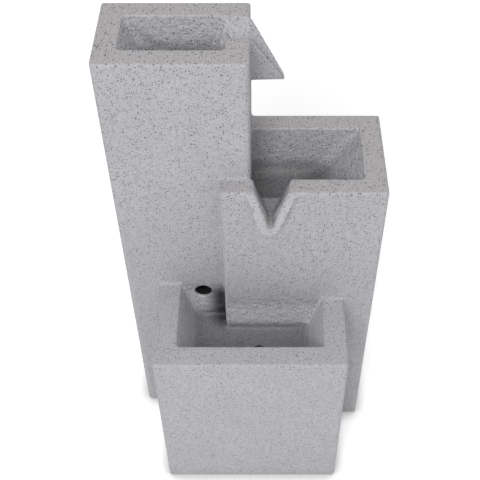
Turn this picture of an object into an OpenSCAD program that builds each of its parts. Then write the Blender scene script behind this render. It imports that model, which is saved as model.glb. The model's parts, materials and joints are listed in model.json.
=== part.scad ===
// Indoor fountain of three merged square pots: a tall pot, a middle pot and a low front basin
// Units are millimetres, +Z is up, the front basin faces -Y, the origin is the middle of the footprint

/* [Site] */
// Overall width of the three pots
site_w = 400; // [360:5:460]
// Overall depth of the three pots
site_d = 300; // [270:5:340]
// Gap left under the castings by the foot pads
foot_gap = 1.5; // [1:0.25:3]

/* [Tall pot] */
// Height of the tall pot's rim
tall_h = 800; // [720:10:880]
// Width of the tall pot
tall_w = 204; // [190:2:220]
// Depth of the tall pot
tall_d = 140; // [136:1:146]
// Width of the tall pot's rim
tall_rim = 32.5; // [30:0.5:34]
// Depth of the top bowl
top_bowl_depth = 78; // [72:1:90]
// Slope of the top bowl's left wall: how far its foot stands inside its top
top_slope_left = 36; // [24:1:42]
// Slope of the top bowl's right wall
top_slope_right = 24; // [16:1:30]
// Slope of the top bowl's front and back walls
top_slope_side = 7; // [4:0.5:8]
// Radius of the tall pot's upright corners
tall_corner = 9; // [5:0.5:14]

/* [Middle pot] */
// Height of the middle pot's rim
mid_h = 600; // [560:10:640]
// Width of the middle pot, with the strip in front of the tall pot
mid_w = 240; // [232:2:252]
// Depth of the middle pot
mid_d = 170; // [164:2:176]
// Width of the middle pot's right and back rims
mid_rim = 33; // [28:0.5:36]
// Depth of the middle bowl
mid_bowl_depth = 80; // [70:1:95]
// Slope of the middle bowl's right wall: how far its foot stands inside its top
mid_slope_right = 62; // [40:1:70]
// Slope of the middle bowl's front and back walls
mid_slope_side = 11; // [6:0.5:16]
// Radius of the middle pot's upright corners
mid_corner = 5; // [3:0.5:10]

/* [Front basin] */
// Height of the basin's rim
basin_h = 360; // [330:5:390]
// Width of the basin
basin_w = 300; // [280:5:310]
// Distance from the tall pot's left face to the basin's left face
basin_inset = 52; // [40:2:64]
// Width of the basin's rim
basin_rim = 36; // [30:0.5:40]
// Depth of the basin's bowl
basin_bowl_depth = 82; // [70:1:95]
// Slope of the basin's side walls: how far their foot stands inside their top
basin_slope = 22; // [14:1:28]
// Slope of the basin's front wall
basin_slope_front = 12; // [6:1:18]
// Radius of the basin's upright corners
basin_corner = 6; // [3:0.5:10]

/* [Casting] */
// Thickness of the cast side walls
wall = 10; // [8:0.5:12]
// Thickness of the tall pot's back wall around the service door
back_wall = 16; // [14:0.5:20]
// Thickness of the cast bowl floors
bowl_floor = 12; // [9:0.5:15]
// Radius of the outer rim edges
rim_edge = 4; // [2:0.5:5]
// Radius of the bowl mouths' edges
mouth_edge = 3; // [2:0.5:4]
// Radius of the cove between bowl floors and walls
cove = 12; // [10:1:14]
// Radius of the bowls' upright corners
bowl_corner = 6; // [4:0.5:10]
// Radius of the filled seams between the pots
seam = 4; // [2:0.5:6]

/* [Upper spout] */
// Distance from the tall pot's front face to the middle of the upper spout
upper_mid = 80; // [74:1:86]
// Width of the notch at the bowl
upper_mouth_w = 54; // [48:1:57]
// Width of the notch at the pot's face
upper_notch_w = 47; // [40:1:48]
// Depth of the groove below the rim at the bowl
upper_sill = 30; // [24:1:36]
// Width of the groove's floor at the bowl
upper_sill_w = 14; // [10:1:18]
// Depth of the groove below the rim at the pot's face
upper_groove = 36; // [30:1:44]
// Width of the beak at the pot's face
upper_beak_w = 54; // [50:1:60]
// Reach of the beak out of the face
upper_reach = 49; // [40:1:54]
// Drop of the beak's lip below the rim
upper_drop = 81; // [70:1:88]
// Width of the beak's lip
upper_lip_w = 10; // [6:0.5:14]

/* [Lower spout] */
// Distance from the middle pot's left face to the middle of the lower spout
lower_mid = 72; // [71:1:76]
// Width of the notch at the bowl
lower_mouth_w = 53; // [44:1:53]
// Width of the notch at the pot's face
lower_notch_w = 47; // [40:1:50]
// Depth of the groove below the rim at the bowl
lower_sill = 43; // [34:1:48]
// Width of the groove's floor at the bowl
lower_sill_w = 31; // [20:1:36]
// Depth of the groove below the rim at the pot's face
lower_groove = 44; // [38:1:48]
// Width of the beak at the pot's face
lower_beak_w = 76; // [70:1:80]
// Reach of the beak out of the face
lower_reach = 31; // [24:1:38]
// Drop of the beak's lip below the rim
lower_drop = 54; // [48:1:60]
// Width of the beak's lip
lower_lip_w = 26; // [20:1:32]

/* [Spout lips] */
// Radius of the rounded lip
lip_r = 4; // [3:0.5:5]
// Radius of the groove's bottom corners
groove_r = 4; // [3:0.5:5]
// Radius of the beak's underside at the face
keel_r = 9; // [7:0.5:11]
// Depth of the groove's run-out in the top of the lip
lip_dip = 1.5; // [0.5:0.25:2.5]
// Radius of the groove's bottom at the lip
lip_groove_r = 2; // [1.5:0.25:2.5]

/* [Water holes] */
// Distance from the tall pot's left face to the overflow hole
overflow_in = 123; // [118:1:128]
// Depth of the overflow hole's centre below the basin rim
overflow_drop = 20; // [18:1:24]
// Radius of the overflow hole
overflow_r = 14.2; // [12:0.1:16]
// Distance from the basin's left face to the drain hole
drain_in = 163; // [150:1:175]
// Radius of the drain hole
drain_r = 10; // [8:0.5:12]

/* [Service door] */
// Width of the door
door_w = 168; // [160:1:172]
// Height of the door
door_h = 264; // [250:2:280]
// Height of the door's lower edge above the castings' foot
door_lift = 17; // [15:1:24]
// Thickness of the door
door_t = 6; // [5:0.5:7]
// Overlap of the door on its seat
door_lap = 12; // [11:0.5:13]
// Thickness of the door's rubber seal
seal_t = 1.2; // [0.8:0.1:1.6]
// Width of the door's rubber seal
seal_w = 3.4; // [3:0.1:3.8]
// Radius of the door's corners
door_corner = 8; // [5:0.5:11]
// Radius of the finger recess in the door
pull_r = 14; // [10:0.5:18]
// Depth of the finger recess
pull_depth = 3.6; // [2.5:0.1:4]

/* [Door screws] */
// Radius of the screw's thread
screw_r = 2; // [1.5:0.25:2.5]
// Radius of the screw's head
screw_head_r = 3.8; // [3.4:0.1:4.2]
// Thickness of the screw's head
screw_head_t = 2.4; // [2:0.1:2.8]
// Length of the screw under its head
screw_len = 11; // [10:0.5:12]
// Radius of the brass insert
insert_r = 3.2; // [2.9:0.1:3.4]
// Length of the brass insert
insert_len = 7; // [5:0.5:8]
// Radius of the hex drive in the screw head
drive_r = 1.5; // [1.2:0.1:1.8]

/* [Base plates and pads] */
// Thickness of the base plates
plate_t = 6; // [5:0.5:8]
// Radius of the foot pads
pad_r = 11; // [9:0.5:13]
// Thickness of the foot pads
pad_t = 3; // [2.5:0.25:4]

/* [Reservoir tub] */
// Width of the tub with its rim
tub_w = 140; // [132:1:142]
// Depth of the tub with its rim
tub_d = 104; // [98:1:106]
// Height of the tub
tub_h = 170; // [150:5:200]
// Wall of the tub
tub_wall = 3; // [2.5:0.25:4]
// Width of the tub's rim outside its wall
tub_lip = 3; // [2:0.5:4]
// Radius of the tub's corners
tub_corner = 12; // [8:1:16]

/* [Pump] */
// Length of the pump's motor block
motor_len = 46; // [42:1:50]
// Width of the pump
pump_w = 42; // [40:1:46]
// Height of the pump's body
pump_h = 42; // [40:1:46]
// Distance of the pump in front of the tub's middle
pump_shift = 8.5; // [6:0.5:10]
// Height of the suction cups
cup_h = 6; // [5:0.5:8]
// Radius of the suction cups
cup_r = 8; // [6:0.5:9]
// Length of the impeller chamber's housing
volute_len = 14; // [13:0.5:16]
// Radius of the impeller chamber
chamber_r = 15; // [14:0.25:16]
// Radius of the impeller
impeller_r = 12.5; // [11:0.25:13.5]
// Thickness of the impeller's blades
blade_t = 1.6; // [1.2:0.1:2]
// Number of impeller blades
blade_count = 6; // [4:1:8]
// Radius of the rotor magnet
magnet_r = 8.5; // [7:0.25:9]
// Length of the rotor magnet
magnet_len = 26; // [22:1:30]
// Radius of the ceramic shaft
shaft_r = 1.5; // [1.2:0.1:1.8]
// Outer radius of the pump's outlet
outlet_r = 7.5; // [7:0.25:8]
// Height of the outlet above the pump's body
outlet_rise = 16; // [12:1:22]
// Thickness of the pump's front cover
cover_t = 4; // [3:0.5:5]
// Radius of the water intake
intake_r = 6; // [5:0.5:7]
// Radius of the flow dial
dial_r = 12; // [11:0.5:13]
// Thickness of the flow dial
dial_t = 3; // [2.5:0.25:4]
// Length of the strainer cage
cage_len = 24; // [22:1:30]
// Wall of the strainer cage
cage_wall = 2; // [1.5:0.25:2.5]
// Width of the strainer's slots
slot_w = 3; // [2:0.25:3.5]
// Number of slots in the strainer's front
front_slots = 5; // [3:1:5]
// Number of slots in each of the strainer's sides
side_slots = 2; // [1:1:2]
// Number of holes in the flow dial and in the cover's web
port_count = 6; // [4:1:8]

/* [Pipes and hose] */
// Outer radius of the riser hose
hose_r = 8; // [7:0.25:9]
// Wall of the riser hose
hose_wall = 2.4; // [2:0.1:2.8]
// Length of hose pushed over each barb
hose_grip = 18; // [14:1:24]
// Outer radius of the return pipe
return_r = 15.5; // [15:0.25:17]
// Wall of the return pipe
return_wall = 3; // [2:0.25:3.5]
// Bend radius of the return pipe
return_bend = 24; // [20:1:28]
// Length of the return pipe inside the tub
return_dip = 28; // [20:1:40]
// Radius of the inlet fitting's stem
stem_r = 7.8; // [7:0.1:8.5]
// Radius of the inlet fitting's flange
flange_r = 13; // [11:0.5:13]
// Thickness of flanges, nuts and collars
flange_t = 3; // [2.5:0.25:4]
// Height of the jet nozzle above its flange
nozzle_h = 18; // [12:1:26]
// Thickness of the inlet's nut
nut_t = 8; // [6:0.5:10]
// Length and width of the cord outlet's grommet collar behind the wall
grommet_lip = 2; // [1.5:0.25:3]
// Radius of the grommet's hole for a cord
cord_r = 3.5; // [3:0.25:4]
// Radius of the grommet's barrel
grommet_r = 8; // [7:0.25:9]

/* [Fit] */
// Gap between seated pieces
seat_gap = 0.2; // [0.1:0.05:0.3]
// Radial gap of running pieces
run_gap = 0.05; // [0.03:0.01:0.08]

/* [Hidden] */
$fn = 48;
overrun = 8;
thin = 0.4;
half = 0.5;
third = 1 / 3;
bore_share = 0.62;
spigot_share = 0.4;
cord_side_share = 0.22;
drain_share = 0.52;
stone_grey = [0.71, 0.71, 0.73];
black_rubber = [0.07, 0.07, 0.07];
black_plastic = [0.11, 0.11, 0.12];
blue_plastic = [0.16, 0.30, 0.55];

left_x = -half * site_w;
right_x = half * site_w;
front_y = -half * site_d;
back_y = half * site_d;
tall_x1 = left_x + tall_w;
tall_y0 = back_y - tall_d;
mid_x0 = right_x - mid_w;
mid_y0 = back_y - mid_d;
basin_x0 = left_x + basin_inset;
basin_x1 = basin_x0 + basin_w;
inner_y0 = tall_y0 + wall;
inner_y1 = back_y - back_wall;
top_floor_z = tall_h - top_bowl_depth;
mid_floor_z = mid_h - mid_bowl_depth;
basin_floor_z = basin_h - basin_bowl_depth;
tall_mid_x = left_x + half * tall_w;

door_z0 = foot_gap + door_lift;
seat_y = back_y - door_t - seal_t;
door_y0 = back_y - door_t;
screw_in = half * door_lap + half * seal_w;
screw_zs = [door_z0 + screw_in, door_z0 + door_h - screw_in];
screw_xs = [tall_mid_x - half * door_w + screw_in, tall_mid_x + half * door_w - screw_in];
screw_seat_y = back_y - screw_head_t - seat_gap;

plate_top = foot_gap + plate_t;
tub_floor_z = plate_top + tub_wall;
tub_y0 = inner_y0 + seat_gap;
tub_x0 = tall_mid_x - half * tub_w;

pump_y = half * (inner_y0 + inner_y1) - pump_shift;
pump_z0 = tub_floor_z + cup_h;
axis_z = pump_z0 + half * pump_h;
outlet_y = pump_y + chamber_r - outlet_r + 2 * hose_wall * third;
volute_x1 = tall_mid_x + half * volute_len;
volute_x0 = volute_x1 - volute_len;
motor_x0 = volute_x0 - motor_len;
cover_x1 = volute_x1 + cover_t;
dial_x0 = cover_x1 + seat_gap;
cage_x1 = cover_x1 + cage_len;
well_r = magnet_r + 2 * run_gap + seat_gap;
bush_r = well_r - seat_gap;
front_bush_r = 2 * shaft_r;
outlet_top = pump_z0 + pump_h + outlet_rise;
hose_in_r = hose_r - hose_wall;
barb_r = hose_in_r - run_gap;
barb_bore = bore_share * barb_r;
hose_z0 = outlet_top + flange_t;
inlet_y = outlet_y;
hollow_top = top_floor_z - bowl_floor;
nut_z0 = hollow_top - nut_t;
hose_z1 = nut_z0 - 2 * flange_t;
stem_z0 = hose_z1 - hose_grip;

overflow_x = left_x + overflow_in;
overflow_z = basin_h - overflow_drop;
spigot_y = tall_y0 + spigot_share * wall;
bend_y = inner_y0 + flange_t;
return_y = bend_y + return_bend;
return_low = foot_gap + plate_t + tub_h - return_dip;
drain_x = basin_x0 + drain_in;
drain_y = front_y + basin_rim + drain_share * (mid_y0 - front_y - basin_rim);
cord_x = left_x + cord_side_share * tall_w;
cord_z = door_z0 + door_h + 3 * grommet_r;

// Shared shapes

module box(low, high) {
    translate(low) cube(high - low);
}

// Cylinder along +Z from a to b
module rod_z(x, y, z0, z1, r) {
    translate([x, y, z0]) cylinder(h = z1 - z0, r = r);
}

// Cylinder along +X
module rod_x(y, z, x0, x1, r) {
    translate([x0, y, z]) rotate([0, 90, 0]) cylinder(h = x1 - x0, r = r);
}

// Cylinder along +Y
module rod_y(x, z, y0, y1, r) {
    translate([x, y0, z]) rotate([-90, 0, 0]) cylinder(h = y1 - y0, r = r);
}

// Rectangle with round corners, drawn from its low corner
module plan(w, d, r) {
    translate([r, 0]) square([w - 2 * r, d]);
    translate([0, r]) square([w, d - 2 * r]);
    translate([r, r]) circle(r);
    translate([w - r, r]) circle(r);
    translate([r, d - r]) circle(r);
    translate([w - r, d - r]) circle(r);
}

// Upright plate with round corners
module slab(low, high, r) {
    translate(low) linear_extrude(height = high[2] - low[2]) plan(high[0] - low[0], high[1] - low[1], r);
}

// Side view of a pot: a rectangle with its two top corners rounded
module pot_side(w, h, e) {
    square([w, h - e]);
    translate([e, 0]) square([w - 2 * e, h]);
    translate([e, h - e]) circle(e);
    translate([w - e, h - e]) circle(e);
}

// Pot with round upright corners and soft rim edges
module pot(low, high, corner) {
    size = high - low;
    intersection() {
        slab(low, high, corner);
        translate([low[0], high[1] + overrun, low[2]]) rotate([90, 0, 0])
            linear_extrude(height = size[1] + 2 * overrun) pot_side(size[0], size[2], rim_edge);
        translate([low[0] - overrun, low[1], low[2]]) rotate([90, 0, 90])
            linear_extrude(height = size[0] + 2 * overrun) pot_side(size[1], size[2], rim_edge);
    }
}

// Centre of the cove at the foot of a sloped wall, as its distance from the wall's top
function cove_in(slope, rise) = slope + cove * (1 - sin(atan(slope / rise))) / cos(atan(slope / rise));

// Points where a cove touches the floor and its wall, for a wall on the left
function cove_ends(slope, rise) = [
    [cove_in(slope, rise) - cove * cos(atan(slope / rise)), cove - cove * sin(atan(slope / rise))],
    [cove_in(slope, rise), 0]];

// Side view of a bowl: sloped walls, coves at the floor, flared mouth edges at the rim, open above it
module bowl_side(w, depth, slopes, rims) {
    rise = depth - mouth_edge;
    a = cove_ends(slopes[0], rise);
    b = cove_ends(slopes[1], rise);
    polygon([[0, depth + overrun], [0, rise], a[0], a[1], [w - b[1][0], 0], [w - b[0][0], b[0][1]], [w, rise],
        [w, depth + overrun]]);
    translate([a[1][0], cove]) circle(cove);
    translate([w - b[1][0], cove]) circle(cove);
    mouth_lip(0, -1, depth, rims[0]);
    mouth_lip(w, 1, depth, rims[1]);
}

// Flare beside a bowl's wall: rounded edge of the rim, or a plain run-out into a neighbour pot
module mouth_lip(at, side, depth, rounded) {
    reach = rounded ? mouth_edge : overrun;
    low = rounded ? depth - mouth_edge : cove;
    translate([side < 0 ? at - reach : at - thin, 0])
        difference() {
            translate([0, low]) square([reach + thin, depth - low + overrun]);
            if (rounded) translate([side < 0 ? 0 : reach + thin, low]) circle(mouth_edge);
        }
}

// Hollow of a bowl: rims flags its free sides, slopes is how far each wall's foot stands in
module bowl(low, high, rims, slopes) {
    size = high - low;
    grow_x0 = rims[0] ? mouth_edge : overrun;
    grow_x1 = rims[1] ? mouth_edge : overrun;
    grow_y0 = rims[2] ? mouth_edge : overrun;
    grow_y1 = rims[3] ? mouth_edge : overrun;
    intersection() {
        slab([low[0] - grow_x0, low[1] - grow_y0, low[2] - overrun],
            [high[0] + grow_x1, high[1] + grow_y1, high[2] + overrun], bowl_corner + mouth_edge);
        translate([low[0], high[1] + 2 * overrun, low[2]]) rotate([90, 0, 0])
            linear_extrude(height = size[1] + 4 * overrun)
                bowl_side(size[0], size[2], [slopes[0], slopes[1]], [rims[0], rims[1]]);
        translate([low[0] - 2 * overrun, low[1], low[2]]) rotate([90, 0, 90])
            linear_extrude(height = size[0] + 4 * overrun)
                bowl_side(size[1], size[2], [slopes[2], slopes[3]], [rims[2], rims[3]]);
    }
}

// Section of a spout groove: floor with round corners and sides that lean out to the rim
module groove_section(w, depth, floor_w) {
    rotate([90, 0, 0]) linear_extrude(height = thin, center = true) hull() {
        for (s = [-1, 1]) translate([s * (half * floor_w - groove_r), groove_r - depth]) circle(groove_r);
        translate([-half * w, 0]) square([w, overrun]);
    }
}

// Groove through a rim along -Y, from the bowl at y = rim to the face at y = 0
module rim_notch(mouth_w, notch_w, sill, sill_w, groove, rim) {
    hull() {
        translate([0, rim + overrun, 0]) groove_section(mouth_w, sill, sill_w);
        groove_section(notch_w, groove, 2 * groove_r);
    }
    hull() {
        groove_section(notch_w, groove, 2 * groove_r);
        translate([0, -overrun, 0]) groove_section(notch_w, groove, 2 * groove_r);
    }
}

// Beak that stands out of a face along -Y, its rim level at z = 0
module beak(beak_w, notch_w, groove, reach, drop, lip_w) {
    lip_y = lip_r - reach;
    lip_x = max(half * lip_w - lip_r, thin);
    run_out_z = lip_r + lip_groove_r - lip_dip - drop;
    difference() {
        hull() {
            translate([-half * beak_w, -thin, -lip_r]) cube([beak_w, thin, lip_r]);
            translate([0, 0, keel_r - drop - lip_r]) rotate([90, 0, 0]) cylinder(h = thin, r = keel_r);
            for (x = [-lip_x, lip_x]) translate([x, lip_y, -drop]) sphere(lip_r);
        }
        hull() {
            translate([0, overrun, 0]) groove_section(notch_w, groove, 2 * groove_r);
            groove_section(notch_w, groove, 2 * groove_r);
            translate([0, lip_y, run_out_z]) rotate([90, 0, 0]) cylinder(h = reach, r = lip_groove_r);
        }
    }
}

// Concave filler strip: a square with a circle cut off it, in the corner between two faces
module strip_section() {
    difference() {
        square(seam);
        translate([seam, seam]) circle(seam);
    }
}

// Upright strip at a corner, turned by a multiple of a quarter turn
module strip_up(at, turn, h) {
    translate(at) rotate(turn) linear_extrude(height = h) strip_section();
}

// Level strip on a rim along +X against a face behind it
module strip_across(at, len) {
    translate(at) rotate([90, 0, 90]) linear_extrude(height = len) mirror([1, 0]) strip_section();
}

// Level strip on a rim along +Y against a face on its left
module strip_along(at, len) {
    translate([at[0], at[1] + len, at[2]]) rotate([90, 0, 0]) linear_extrude(height = len) strip_section();
}

// The three castings

module tall_shape() {
    pot([left_x, tall_y0, foot_gap], [tall_x1, back_y, tall_h], tall_corner);
}

module tall_column() {
    inner_x0 = left_x + wall;
    inner_x1 = tall_x1 - wall;
    color(stone_grey) difference() {
        tall_shape();
        bowl([left_x + tall_rim, tall_y0 + tall_rim, top_floor_z],
            [tall_x1 - tall_rim, back_y - tall_rim, tall_h], [true, true, true, true],
            [top_slope_left, top_slope_right, top_slope_side, top_slope_side]);
        translate([tall_x1, tall_y0 + upper_mid, tall_h]) rotate(90)
            rim_notch(upper_mouth_w, upper_notch_w, upper_sill, upper_sill_w, upper_groove, tall_rim);
        box([inner_x0, inner_y0, foot_gap - overrun], [inner_x1, inner_y1, hollow_top]);
        door_pocket();
        rod_y(overflow_x, overflow_z, tall_y0 - overrun, inner_y0 + overrun, overflow_r);
        rod_z(tall_mid_x, inlet_y, hollow_top - overrun, top_floor_z + overrun, stem_r + seat_gap);
        rod_y(cord_x, cord_z, inner_y1 - overrun, back_y + overrun, grommet_r + seat_gap);
        for (x = screw_xs, z = screw_zs) rod_y(x, z, seat_y - insert_len, seat_y + overrun, insert_r);
    }
}

// Opening and seat of the service door
module door_pocket() {
    gap = seat_gap;
    x0 = tall_mid_x - half * door_w;
    x1 = tall_mid_x + half * door_w;
    translate([x0 - gap, back_y + overrun, door_z0 - gap]) rotate([90, 0, 0])
        linear_extrude(height = back_y + overrun - seat_y)
            plan(door_w + 2 * gap, door_h + 2 * gap, door_corner + gap);
    translate([x0 + door_lap, back_y + overrun, door_z0 + door_lap]) rotate([90, 0, 0])
        linear_extrude(height = back_wall + 2 * overrun)
            plan(door_w - 2 * door_lap, door_h - 2 * door_lap, door_corner);
}

module middle_column() {
    color(stone_grey) difference() {
        pot([mid_x0, mid_y0, foot_gap], [right_x, back_y, mid_h], mid_corner);
        box([mid_x0 - overrun, tall_y0, -overrun], [tall_x1, back_y + overrun, mid_h + overrun]);
        bowl([tall_x1, tall_y0, mid_floor_z], [right_x - mid_rim, back_y - mid_rim - thin, mid_h],
            [false, true, true, true], [0, mid_slope_right, mid_slope_side, mid_slope_side]);
        translate([mid_x0 + lower_mid, mid_y0, mid_h])
            rim_notch(lower_mouth_w, lower_notch_w, lower_sill, lower_sill_w, lower_groove,
                tall_y0 - mid_y0);
        box([tall_x1 + wall, mid_y0 + wall, foot_gap - overrun],
            [right_x - wall, back_y - wall, mid_floor_z - bowl_floor]);
    }
}

module front_basin() {
    bowl_x0 = basin_x0 + basin_rim;
    bowl_x1 = basin_x1 - basin_rim;
    bowl_y0 = front_y + basin_rim;
    color(stone_grey) difference() {
        pot([basin_x0, front_y, foot_gap], [basin_x1, tall_y0 + basin_rim, basin_h], basin_corner);
        box([basin_x0 - overrun, tall_y0, -overrun], [basin_x1 + overrun, back_y, basin_h + overrun]);
        box([mid_x0, mid_y0, -overrun], [right_x, back_y, basin_h + overrun]);
        bowl([bowl_x0, bowl_y0, basin_floor_z], [bowl_x1, mid_y0, basin_h], [true, true, true, false],
            [basin_slope, basin_slope, basin_slope_front, 0]);
        bowl([bowl_x0, bowl_y0, basin_floor_z], [mid_x0, tall_y0, basin_h], [true, false, true, false],
            [basin_slope, 0, basin_slope_front, 0]);
        box([basin_x0 + wall, front_y + wall, foot_gap - overrun],
            [basin_x1 - wall, mid_y0 - wall, basin_floor_z - bowl_floor]);
        box([basin_x0 + wall, front_y + wall, foot_gap - overrun],
            [mid_x0 - wall, tall_y0 - wall, basin_floor_z - bowl_floor]);
        rod_z(drain_x, drain_y, basin_floor_z - bowl_floor - overrun, basin_h, drain_r);
    }
}

module upper_spout() {
    color(stone_grey) translate([tall_x1, tall_y0 + upper_mid, tall_h]) rotate(90)
        beak(upper_beak_w, upper_notch_w, upper_groove, upper_reach, upper_drop, upper_lip_w);
}

module lower_spout() {
    color(stone_grey) translate([mid_x0 + lower_mid, mid_y0, mid_h])
        beak(lower_beak_w, lower_notch_w, lower_groove, lower_reach, lower_drop, lower_lip_w);
}

// Filled seams where the castings meet
module seam_fillets() {
    color(stone_grey) {
        strip_across([basin_x0 + rim_edge, tall_y0, basin_h], basin_rim - rim_edge - mouth_edge);
        strip_across([basin_x1 - basin_rim + mouth_edge, mid_y0, basin_h], basin_rim - rim_edge - mouth_edge);
        strip_across([mid_x0 + rim_edge, tall_y0, mid_h], tall_x1 - mid_x0 - rim_edge);
        strip_along([tall_x1, back_y - mid_rim + mouth_edge, mid_h], mid_rim - rim_edge - mouth_edge);
        strip_up([basin_x0, tall_y0, foot_gap], 180, basin_h - foot_gap - rim_edge);
        strip_up([mid_x0, tall_y0, basin_h], 180, mid_h - basin_h - rim_edge);
        strip_up([basin_x1, mid_y0, foot_gap], 270, basin_h - foot_gap - rim_edge);
    }
}

// Base plates, foot pads and the service door

pads_tall = [[left_x + wall + 2 * pad_r, tall_y0 + wall + 2 * pad_r],
    [left_x + wall + 2 * pad_r, back_y - back_wall - 2 * pad_r],
    [tall_x1 - wall - 2 * pad_r, back_y - back_wall - 2 * pad_r]];
pads_mid = [[right_x - wall - 2 * pad_r, mid_y0 + wall + 2 * pad_r],
    [right_x - wall - 2 * pad_r, back_y - wall - 2 * pad_r]];
pads_basin = [[basin_x0 + wall + 2 * pad_r, front_y + wall + 2 * pad_r],
    [basin_x1 - wall - 2 * pad_r, front_y + wall + 2 * pad_r]];

module pad_at(p, r) {
    rod_z(p[0], p[1], 0, pad_t, r);
}

module plate(low, high, pads) {
    color(black_plastic) difference() {
        box([low[0] + seat_gap, low[1] + seat_gap, foot_gap],
            [high[0] - seat_gap, high[1] - seat_gap, plate_top]);
        for (p = pads) translate([0, 0, seat_gap]) pad_at(p, pad_r + seat_gap);
    }
}

module tall_base_plate() {
    plate([left_x + wall, inner_y0], [tall_x1 - wall, inner_y1], pads_tall);
}

module middle_base_plate() {
    plate([tall_x1 + wall, mid_y0 + wall], [right_x - wall, back_y - wall], pads_mid);
}

module basin_base_plate() {
    color(black_plastic) difference() {
        union() {
            plate([basin_x0 + wall, front_y + wall], [basin_x1 - wall, mid_y0 - wall], pads_basin);
            plate([basin_x0 + wall, front_y + wall], [mid_x0 - wall, tall_y0 - wall], pads_basin);
        }
        rod_z(drain_x, drain_y, 0, plate_top + overrun, drain_r + wall * third + seat_gap);
    }
}

module foot_pads() {
    color(black_rubber) {
        for (p = concat(pads_tall, pads_mid, pads_basin)) pad_at(p, pad_r);
    }
}

module service_door() {
    x0 = tall_mid_x - half * door_w;
    color(stone_grey) difference() {
        translate([x0, back_y, door_z0]) rotate([90, 0, 0])
            linear_extrude(height = door_t) plan(door_w, door_h, door_corner);
        for (x = screw_xs, z = screw_zs) {
            rod_y(x, z, door_y0 - overrun, back_y + overrun, screw_r + seat_gap);
            rod_y(x, z, screw_seat_y - seat_gap, back_y + overrun, screw_head_r + seat_gap);
        }
        rod_y(tall_mid_x, door_z0 + door_h - 2 * pull_r, back_y - pull_depth, back_y + overrun, pull_r);
    }
}

// Frame seal inside the ring of screws
module door_seal() {
    inset = door_lap - seal_w - seat_gap;
    w = door_w - 2 * inset;
    h = door_h - 2 * inset;
    color(black_rubber) translate([tall_mid_x - half * w, door_y0, door_z0 + inset]) rotate([90, 0, 0])
        linear_extrude(height = seal_t) difference() {
            plan(w, h, door_corner);
            translate([seal_w, seal_w]) plan(w - 2 * seal_w, h - 2 * seal_w, door_corner - seal_w);
        }
}

module door_screws() {
    color("silver") for (x = screw_xs, z = screw_zs) difference() {
        union() {
            rod_y(x, z, screw_seat_y - screw_len, screw_seat_y, screw_r);
            rod_y(x, z, screw_seat_y, screw_seat_y + screw_head_t, screw_head_r);
        }
        translate([x, screw_seat_y + half * screw_head_t, z]) rotate([-90, 0, 0])
            cylinder(h = screw_head_t, r = drive_r, $fn = 6);
    }
}

module door_inserts() {
    color("gold") for (x = screw_xs, z = screw_zs) difference() {
        rod_y(x, z, seat_y - insert_len, seat_y, insert_r);
        rod_y(x, z, seat_y - insert_len - overrun, seat_y + overrun, screw_r + run_gap);
    }
}

// Cord outlet: the bore for a power cord, closed to splashes by a rubber grommet
module cord_grommet() {
    color(black_rubber) difference() {
        union() {
            rod_y(cord_x, cord_z, inner_y1, back_y, grommet_r);
            rod_y(cord_x, cord_z, inner_y1 - grommet_lip, inner_y1, grommet_r + grommet_lip);
        }
        rod_y(cord_x, cord_z, inner_y1 - overrun, back_y + overrun, cord_r);
    }
}

// Reservoir and pump

module reservoir_tub() {
    low = [tub_x0 + tub_lip, tub_y0 + tub_lip, plate_top];
    high = [tub_x0 + tub_w - tub_lip, tub_y0 + tub_d - tub_lip, plate_top + tub_h];
    in = tub_wall;
    color(black_plastic) difference() {
        union() {
            slab(low, high, tub_corner);
            slab([tub_x0, tub_y0, high[2] - tub_wall], [tub_x0 + tub_w, tub_y0 + tub_d, high[2]],
                tub_corner + tub_lip);
        }
        slab([low[0] + in, low[1] + in, tub_floor_z], [high[0] - in, high[1] - in, high[2] + overrun],
            tub_corner - in);
    }
}

module pump_housing() {
    y0 = pump_y - half * pump_w;
    y1 = pump_y + half * pump_w;
    top = pump_z0 + pump_h;
    gland_r = 2 * cord_r;
    color(black_plastic) difference() {
        union() {
            box([motor_x0, y0, pump_z0], [volute_x1, y1, top]);
            rod_z(tall_mid_x, outlet_y, top, outlet_top, outlet_r);
            rod_x(pump_y, axis_z + third * pump_h, motor_x0 - gland_r, motor_x0, gland_r);
        }
        rod_x(pump_y, axis_z, volute_x0 - magnet_len - volute_len, volute_x0 + overrun, well_r);
        rod_x(pump_y, axis_z, volute_x0, volute_x1 + overrun, chamber_r);
        rod_z(tall_mid_x, outlet_y, axis_z, outlet_top + overrun, bore_share * outlet_r);
        rod_x(pump_y, axis_z + third * pump_h, motor_x0 - gland_r - overrun, motor_x0, cord_r);
        for (p = cup_spots()) rod_z(p[0], p[1], pump_z0 - overrun, pump_z0 + cup_h, half * cup_r);
    }
}

function cup_spots() = [for (x = [motor_x0 + cup_r, volute_x1 - cup_r]) for (s = [-1, 1])
    [x, pump_y + s * (half * pump_w - cup_r)]];

module suction_cups() {
    color(black_rubber) for (p = cup_spots()) difference() {
        union() {
            rod_z(p[0], p[1], tub_floor_z, pump_z0 + cup_h - seat_gap, half * cup_r - seat_gap);
            translate([p[0], p[1], tub_floor_z]) cylinder(h = cup_h, r1 = cup_r, r2 = half * cup_r);
        }
        translate([p[0], p[1], tub_floor_z - thin])
            cylinder(h = third * cup_h, r1 = cup_r - blade_t, r2 = half * cup_r);
    }
}

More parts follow.
